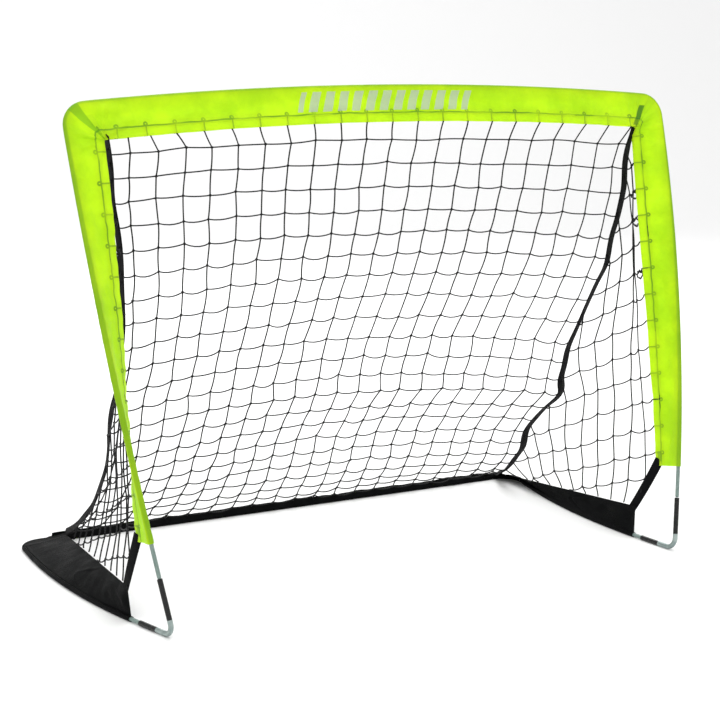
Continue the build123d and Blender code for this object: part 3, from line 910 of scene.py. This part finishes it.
class Shader:
    """A material being built: short ways to add the nodes that it needs."""

    def __init__(self, name, **settings):
        self.material = bpy.data.materials.new(name)
        self.material.use_nodes = True
        self.tree = self.material.node_tree
        self.tree.nodes.clear()
        self.out = self.node("ShaderNodeOutputMaterial")
        self.base = self.node("ShaderNodeBsdfPrincipled")
        self.link(self.base.outputs[0], self.out.inputs["Surface"])
        for socket, value in settings.items():
            self.base.inputs[socket.replace("_", " ")].default_value = value

    def node(self, kind, **settings):
        made = self.tree.nodes.new(kind)
        for key, value in settings.items():
            setattr(made, key, value)
        return made

    def link(self, a, b):
        self.tree.links.new(a, b)

    def put(self, socket, value):
        if isinstance(value, bpy.types.NodeSocket):
            self.link(value, socket)
        else:
            socket.default_value = value

    def math(self, operation, a, b=0.0, c=0.0):
        made = self.node("ShaderNodeMath", operation=operation)
        for socket, value in zip(made.inputs, (a, b, c)):
            self.put(socket, value)
        return made.outputs[0]

    def add(self, a, b):
        return self.math("ADD", a, b)

    def sub(self, a, b):
        return self.math("SUBTRACT", a, b)

    def mul(self, a, b):
        return self.math("MULTIPLY", a, b)

    def uv(self, name="UVMap"):
        """The two numbers of a UV map: for the main one, how far along and how far across, in metres."""
        split = self.node("ShaderNodeSeparateXYZ")
        self.link(self.node("ShaderNodeUVMap", uv_map=name).outputs[0], split.inputs[0])
        return split.outputs[0], split.outputs[1]

    def place(self, x=0.0, y=0.0, z=0.0):
        made = self.node("ShaderNodeCombineXYZ")
        for socket, value in zip(made.inputs, (x, y, z)):
            self.put(socket, value)
        return made.outputs[0]

    def object_place(self):
        return self.node("ShaderNodeTexCoord").outputs["Object"]

    def noise(self, where, scale, detail=3.0, roughness=0.5):
        made = self.node("ShaderNodeTexNoise")
        self.put(made.inputs["Vector"], where)
        made.inputs["Scale"].default_value = scale
        made.inputs["Detail"].default_value = detail
        made.inputs["Roughness"].default_value = roughness
        return made.outputs["Fac"]

    def remap(self, value, a, b, c=0.0, d=1.0):
        made = self.node("ShaderNodeMapRange", interpolation_type="SMOOTHSTEP")
        for socket, x in zip(made.inputs, (value, a, b, c, d)):
            self.put(socket, x)
        return made.outputs[0]

    def mix(self, share, a, b):
        made = self.node("ShaderNodeMix", data_type="RGBA")
        self.put(made.inputs[0], share)
        self.put(made.inputs[6], a)
        self.put(made.inputs[7], b)
        return made.outputs[2]

    def bump(self, height, distance, strength=1.0, under=None):
        made = self.node("ShaderNodeBump")
        made.inputs["Strength"].default_value = strength
        made.inputs["Distance"].default_value = distance
        self.put(made.inputs["Height"], height)
        if under is not None:
            self.link(under, made.inputs["Normal"])
        return made.outputs[0]

    def band(self, value, centre, half, soft):
        """1 where value is within half of centre, falling to 0 over soft."""
        away = self.math("ABSOLUTE", self.sub(value, centre))
        return self.remap(away, half, half + soft, 1.0, 0.0)

    def weave(self, u, v, thread):
        """Plain weave: threads over and under each other, each this wide."""
        a = self.math("SINE", self.mul(u, math.pi / thread))
        b = self.math("SINE", self.mul(v, math.pi / thread))
        return self.math("ABSOLUTE", self.mul(a, b))

    def stitches(self, u, across, at, pitch):
        """A row of stitches along u, this far across."""
        pace = self.math("FRACT", self.mul(u, 1 / pitch))
        return self.mul(self.band(across, at, 0.0003, 0.0003), self.band(pace, 0.5, 0.33, 0.05))

    def finish(self, **sockets):
        """Wires the shader's own sockets and gives the material."""
        for name, value in sockets.items():
            self.link(value, self.base.inputs[name.replace("_", " ")])
        return self.material


def colour(r, g, b):
    """A colour given as it looks on a screen, from 0 to 255."""
    def linear(x):
        x /= 255
        return x / 12.92 if x <= 0.04045 else ((x + 0.055) / 1.055) ** 2.4

    return (linear(r), linear(g), linear(b), 1.0)


def border_cord_shade_and_ridge(sh, u, v, front, count):
    """The border cord pressed against the cloth, with a knot and a short end at each mesh: the mask for its
    painted shade through the thin cloth, and for its raised ridge.
    """
    drift = sh.mul(sh.sub(sh.noise(sh.place(u), 30.0, 1.0), 0.5), 0.004)
    line_v = sh.sub(front, drift)
    cord = sh.band(line_v, BORDER, 0.0008, 0.0011)
    cell = sh.sub(sh.math("FRACT", sh.add(count, 0.5)), 0.5)
    du = sh.mul(cell, KNOT_PITCH)
    dv = sh.sub(line_v, BORDER + 0.003)
    away = sh.math("SQRT", sh.add(sh.mul(du, du), sh.mul(dv, dv)))
    ring = sh.band(away, 0.0026, 0.0009, 0.0011)
    stub = sh.mul(sh.band(du, 0.0, 0.0008, 0.0010), sh.math("LESS_THAN", line_v, BORDER))
    seen = sh.noise(sh.place(u, v, 0.3), 22.0, 1.0)
    marks = sh.math("MAXIMUM", sh.math("MAXIMUM", cord, ring), stub)
    return sh.mul(marks, sh.remap(seen, 0.3, 0.6, 0.30, 0.75))


def corner_painted_shade(sh, base, u, up, inwards):
    """Painted shade where the strap's end, sewn into each upper corner, and the lap of one sleeve on the other
    keep light from coming through the cloth.
    """
    # painted shade of the strap's end lying inside the sleeve
    strap_shade = sh.band(sh.add(inwards, sh.mul(up, 0.5)), 0.001, 0.0055, 0.0014)
    strap_shade = sh.mul(strap_shade, sh.band(up, 0.023, 0.019, 0.0015))
    left = sh.math("LESS_THAN", u, 0.0)
    base = sh.mix(sh.mul(strap_shade, sh.sub(0.85, sh.mul(left, 0.75))), base, colour(52, 124, 30))
    # painted shade where the crossbar's sleeve laps over the post's and less light comes through
    lap = sh.sub(half_length, sh.math("ABSOLUTE", u))
    lap_shade = sh.mul(sh.band(lap, 0.008, 0.008, 0.002), sh.band(up, 0.030, 0.034, 0.006))
    return sh.mix(sh.mul(lap_shade, sh.add(0.15, sh.mul(left, 0.45))), base, colour(112, 184, 24))


def leaning_bars(sh, u, v):
    """A plain print of leaning bars on the front of the crossbar."""
    lean = sh.add(u, sh.mul(v, -0.35))
    bar = sh.band(sh.math("FRACT", sh.mul(sh.add(lean, 0.5), 1 / 0.0275)), 0.5, 0.29, 0.03)
    zone = sh.mul(sh.band(lean, -0.017, 0.168, 0.001), sh.band(v, 0.0375, 0.0165, 0.0008))
    return sh.mul(sh.mul(bar, zone), 0.88)


def lime_fabric():
    sh = Shader(
        "lime_polyester", Roughness=0.5, Specular_IOR_Level=0.22, Sheen_Weight=0.06, Sheen_Roughness=0.4
    )
    u, v = sh.uv()
    full = 2 * SLEEVE_W + math.pi * SLEEVE_R
    front = sh.math("MINIMUM", v, sh.sub(full - 0.0045, v))
    count, arc = sh.uv("knots")
    up, inwards = sh.uv("corner")
    soft = sh.noise(sh.place(u, v), 11.0, 5.0, 0.6)
    base = sh.mix(sh.remap(soft, 0.36, 0.66), colour(188, 233, 12), colour(212, 249, 18))
    # painted shade: the pole behind the thin cloth blocks light coming through, shown as a darker line round the
    # outside
    pole = sh.mul(sh.band(v, full / 2 - 0.001, 0.0036, 0.0045), 0.5)
    base = sh.mix(pole, base, colour(84, 150, 30))
    cord_shade_and_ridge = border_cord_shade_and_ridge(sh, u, v, front, count)
    # painted shade of the border cord, its knots and short ends lying behind the thin cloth
    base = sh.mix(cord_shade_and_ridge, base, colour(84, 146, 30))
    base = corner_painted_shade(sh, base, u, up, inwards)
    # painted shade of the front strap's end, sewn in at the bottom of each post sleeve, behind the thin cloth
    tab_shade = sh.band(sh.sub(full_length, arc), 0.018, 0.009, 0.001)
    tab_shade = sh.mul(tab_shade, sh.band(front, 0.011, 0.0045, 0.001))
    base = sh.mix(sh.mul(tab_shade, 0.6), base, colour(70, 140, 28))
    # the doubled hem lets less light through
    hem = sh.remap(front, SLEEVE_HEM - 0.001, SLEEVE_HEM + 0.001, 0.22, 0.0)
    base = sh.mix(hem, base, colour(214, 248, 30))
    base = sh.mix(leaning_bars(sh, u, v), base, colour(196, 206, 190))
    stitches = [sh.stitches(u, front, at, 0.0032) for at in (SLEEVE_HEM - 0.0015, 0.0022)]
    dents = sh.mul(sh.add(*stitches), -4.0)
    raised = sh.add(sh.add(sh.weave(u, v, 0.0006), dents), sh.mul(cord_shade_and_ridge, 3.0))
    creases = sh.noise(sh.place(u, sh.mul(v, 0.45)), 46.0, 5.0, 0.6)
    normal = sh.bump(raised, 0.00012, 0.8, sh.bump(creases, 0.0035, 0.55))
    # light from behind comes through the thin cloth
    glow = sh.node("ShaderNodeBsdfTranslucent")
    sh.link(base, glow.inputs["Color"])
    sh.link(normal, glow.inputs["Normal"])
    both = sh.node("ShaderNodeMixShader")
    both.inputs[0].default_value = 0.38
    sh.link(sh.base.outputs[0], both.inputs[1])
    sh.link(glow.outputs[0], both.inputs[2])
    sh.link(both.outputs[0], sh.out.inputs["Surface"])
    return sh.finish(Base_Color=base, Normal=normal)


def black_fabric():
    sh = Shader("black_nylon", Roughness=0.62, Specular_IOR_Level=0.05)
    u, v = sh.uv()
    soft = sh.noise(sh.place(u, v), 26.0, 4.0)
    raised = sh.sub(sh.weave(u, v, 0.0007), sh.mul(sh.stitches(u, v, 0.006, 0.0034), 4.0))
    creases = sh.noise(sh.place(u, v), 38.0, 5.0, 0.6)
    return sh.finish(
        Base_Color=sh.mix(sh.remap(soft, 0.3, 0.7), colour(3, 4, 4), colour(12, 13, 14)),
        Roughness=sh.remap(soft, 0.2, 0.8, 0.5, 0.74),
        Normal=sh.bump(raised, 0.00015, 0.9, sh.bump(creases, 0.0030, 0.5)),
    )


def webbing():
    sh = Shader("black_webbing", Roughness=0.62, Specular_IOR_Level=0.06)
    u, v = sh.uv()
    slant = sh.add(sh.mul(u, 2 * math.pi / 0.0030), sh.mul(sh.math("ABSOLUTE", v), 2 * math.pi / 0.0022))
    rib = sh.math("SINE", slant)
    # colour lighter and darker along the ribs, with a fine random mottle
    rib_tone = sh.add(rib, sh.noise(sh.place(u, v), 300.0, 2.0))
    return sh.finish(
        Base_Color=sh.mix(sh.remap(rib_tone, -0.6, 1.6), colour(4, 4, 5), colour(18, 18, 20)),
        Normal=sh.bump(rib, 0.0003, 0.9),
    )


def twine():
    sh = Shader("black_twine", Roughness=0.6, Specular_IOR_Level=0.2, Sheen_Weight=0.03)
    u, v = sh.uv()
    strand = sh.math("SINE", sh.add(sh.mul(u, 2 * math.pi / 0.0042), sh.mul(v, 4 * math.pi)))
    return sh.finish(
        Base_Color=sh.mix(sh.remap(strand, -1, 1), colour(6, 6, 7), colour(24, 24, 26)),
        Normal=sh.bump(strand, 0.0003, 0.9),
    )


def fibreglass():
    sh = Shader("grey_fibreglass", Roughness=0.34, Specular_IOR_Level=0.5, Coat_Weight=0.15)
    where = sh.node("ShaderNodeMapping")
    where.inputs["Scale"].default_value = (900, 900, 18)
    sh.link(sh.object_place(), where.inputs["Vector"])
    streak = sh.noise(where.outputs[0], 1.0, 3.0)
    return sh.finish(
        Base_Color=sh.mix(sh.remap(streak, 0.3, 0.7), colour(92, 112, 106), colour(124, 142, 136)),
        Normal=sh.bump(streak, 0.0001, 0.5),
    )


def steel():
    sh = Shader("zinc_steel", Metallic=0.85, Roughness=0.36)
    grain = sh.noise(sh.object_place(), 420.0, 4.0)
    patch = sh.noise(sh.object_place(), 70.0, 3.0)
    return sh.finish(
        Base_Color=sh.mix(sh.remap(patch, 0.3, 0.7), colour(128, 142, 140), colour(162, 174, 171)),
        Roughness=sh.remap(grain, 0.3, 0.7, 0.28, 0.48),
        Normal=sh.bump(grain, 0.00005, 0.5),
    )


def ferrule_black():
    sh = Shader("black_ferrule", Roughness=0.3, Specular_IOR_Level=0.35)
    scuff = sh.noise(sh.object_place(), 160.0, 5.0, 0.6)
    return sh.finish(
        Base_Color=sh.mix(sh.remap(scuff, 0.55, 0.75), colour(9, 10, 10), colour(30, 32, 33)),
        Roughness=sh.remap(scuff, 0.4, 0.7, 0.22, 0.5),
        Normal=sh.bump(scuff, 0.0001, 0.5),
    )


def elastic():
    sh = Shader("white_shock_cord", Roughness=0.7, Sheen_Weight=0.3)
    braid = sh.node("ShaderNodeTexVoronoi")
    braid.inputs["Scale"].default_value = 900.0
    sh.link(sh.object_place(), braid.inputs["Vector"])
    return sh.finish(
        Base_Color=sh.mix(sh.remap(braid.outputs[0], 0, 0.6), colour(226, 226, 220), colour(170, 172, 168)),
        Normal=sh.bump(braid.outputs[0], 0.0002, 0.8),
    )


MATERIALS = {
    "lime_sleeve": lime_fabric(),
    "black_fabric": black_fabric(),
    "black_webbing": webbing(),
    "net_twine": twine(),
    "fibreglass_rod": fibreglass(),
    "steel_tube": steel(),
    "inner_ferrule": steel(),
    "black_ferrule": ferrule_black(),
    "shock_cord": elastic(),
}
slots = {p["node"]: p["material_slot"] for p in frame["record"]["subparts"]}
for name, node in frame["nodes"].items():
    for slot in node.material_slots:
        slot.material = MATERIALS[slots[name]]


# ======== each piece's material, and the sleeves, border cord and ground fabric on their bodies ===
def dense(points, spacing=0.003):
    return resample(np.asarray(points, float), spacing)[0]


still = dense([skirt_corner[-1], strap_ends[-1][1], strap_ends[1][1], skirt_corner[1]])
turning = np.concatenate([dense(bar_edges), dense(post_edge[-1]), dense(post_edge[1])])


def tree_of(points):
    tree = kdtree.KDTree(len(points))
    for i, p in enumerate(points):
        tree.insert(Vector(p), i)
    tree.balance()
    return tree


still_tree, turning_tree = tree_of(still), tree_of(turning)
FLOOR_ROOM = 0.006


def fold_share(points):
    """The share of the hoop's turn that each point takes, from 0 on the ground to 1 on the sleeves."""
    out = np.zeros(len(points))
    for i, p in enumerate(points):
        a, b = still_tree.find(Vector(p))[2], turning_tree.find(Vector(p))[2]
        out[i] = a / (a + b) if a + b > 0 else 0.0
    arm = points - HINGE
    reach = np.hypot(arm[:, 1], arm[:, 2])
    angle = np.arctan2(arm[:, 2], arm[:, 1])
    lowest = -np.arcsin(np.clip((HINGE[2] - FLOOR_ROOM) / np.maximum(reach, 1e-6), -1, 1))
    return np.minimum(out, np.clip((angle - lowest) / FOLD, 0, 1))


def follow_fold(obj):
    """Bakes the piece's transform and works out each point's share of the hoop's turn, by how near it is to the
    ground or the hoop; the shares are not used.
    """
    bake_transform(obj)
    co = np.array([v.co for v in obj.data.vertices], float)
    fold_share(co).astype(np.float32)


def dress(obj, slot, *nodes):
    obj.data.materials.append(MATERIALS[slot])
    if nodes:
        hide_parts(*nodes)
    return obj


dress(crossbar_sleeve, "lime_sleeve", "crossbar_sleeve")
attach(crossbar_sleeve, "hoop")
dress(net_border, "net_twine")
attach(net_border, "hoop")
dress(rear_hem, "black_fabric", "rear_hem")
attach(rear_hem, "base")
back_cords = dress(back.make("back_net_cords"), "net_twine", "back_net")
back_knots = dress(knots.make("back_net_knots"), "net_twine")
follow_fold(back_cords)
follow_fold(back_knots)
for s, side in SIDES.items():
    dress(post_sleeves[s], "lime_sleeve", f"post_sleeve_{side}")
    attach(post_sleeves[s], "hoop")
    dress(skirts[s], "black_fabric", f"skirt_{side}")
    dress(pockets[s], "black_fabric", f"corner_pocket_{side}")
    for obj in (skirts[s], pockets[s]):
        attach(obj, "base")
    cords = dress(side_cords[s].make(f"side_net_cords_{side}"), "net_twine", f"side_net_{side}")
    loops = dress(side_knots[s].make(f"side_net_knots_{side}"), "net_twine")
    dress(straps[s], "black_webbing", f"edge_strap_{side}")
    dress(front_straps[s], "black_webbing", f"front_strap_{side}")
    for obj in (cords, loops, straps[s], front_straps[s]):
        follow_fold(obj)

# ======== floor, light and camera ========
CAMERA_AT = (-1.4527, float(cad_box[0].y) - 2.351, 0.9027)
CAMERA_TURN = (math.radians(79.74), 0.0, math.radians(-28.7))
LENS = 84.2
GOAL_MIDDLE = (0, 0, 0.35)
LAMPS = [                 # where each lamp is, what it points at, its size and its power
    ("key", (-1.6, -2.2, 3.4), GOAL_MIDDLE, 2.4, 44),
    ("top", (0.5, 0.4, 3.6), GOAL_MIDDLE, 3.0, 42),
    ("back", (1.5, 3.4, 2.8), GOAL_MIDDLE, 2.6, 60),
    ("backdrop", (2.0, 3.2, 4.6), (3.0, 6.2, 0.8), 3.0, 34),
]


def studio():
    """A pale floor that curves up behind the goal, a white surround and soft lamps."""
    curve_from, curve_r = 4.5, 2.5
    turn = np.linspace(0.05, math.pi / 2, 18)
    curve = np.stack([curve_from + curve_r * np.sin(turn), curve_r - curve_r * np.cos(turn)], axis=1)
    profile = [(-9.0, 0.0), (curve_from, 0.0), *curve, (curve_from + curve_r, 9.0)]
    points = np.array([[x, y, z] for x in (-12, 0, 12) for y, z in profile])
    floor = link("studio_floor", points, [quad[::-1] for quad in grid_faces(3, len(profile))])
    sh = Shader("pale_floor", Roughness=0.85, Specular_IOR_Level=0.2)
    sh.base.inputs["Base Color"].default_value = (0.86, 0.86, 0.86, 1)
    floor.data.materials.append(sh.material)
    world = bpy.data.worlds.new("white_surround")
    bpy.context.scene.world = world
    world.use_nodes = True
    world.node_tree.nodes["Background"].inputs[0].default_value = (1, 1, 1, 1)
    world.node_tree.nodes["Background"].inputs[1].default_value = 1.0
    for name, at, towards, size, power in LAMPS:
        lamp = bpy.data.lights.new(name, "AREA")
        lamp.shape, lamp.size, lamp.energy = "DISK", size, power
        obj = bpy.data.objects.new(name, lamp)
        obj.location = at
        obj.rotation_euler = (Vector(towards) - Vector(at)).to_track_quat("-Z", "Y").to_euler()
        bpy.context.scene.collection.objects.link(obj)


studio()
bpy.context.scene.view_settings.view_transform = "Standard"
camera = bpy.data.cameras.new("camera")
camera.lens, camera.sensor_width = LENS, 36
camera.clip_end = 60
viewer = bpy.data.objects.new("camera", camera)
viewer.location, viewer.rotation_euler = CAMERA_AT, CAMERA_TURN
bpy.context.scene.collection.objects.link(viewer)
bpy.context.scene.camera = viewer
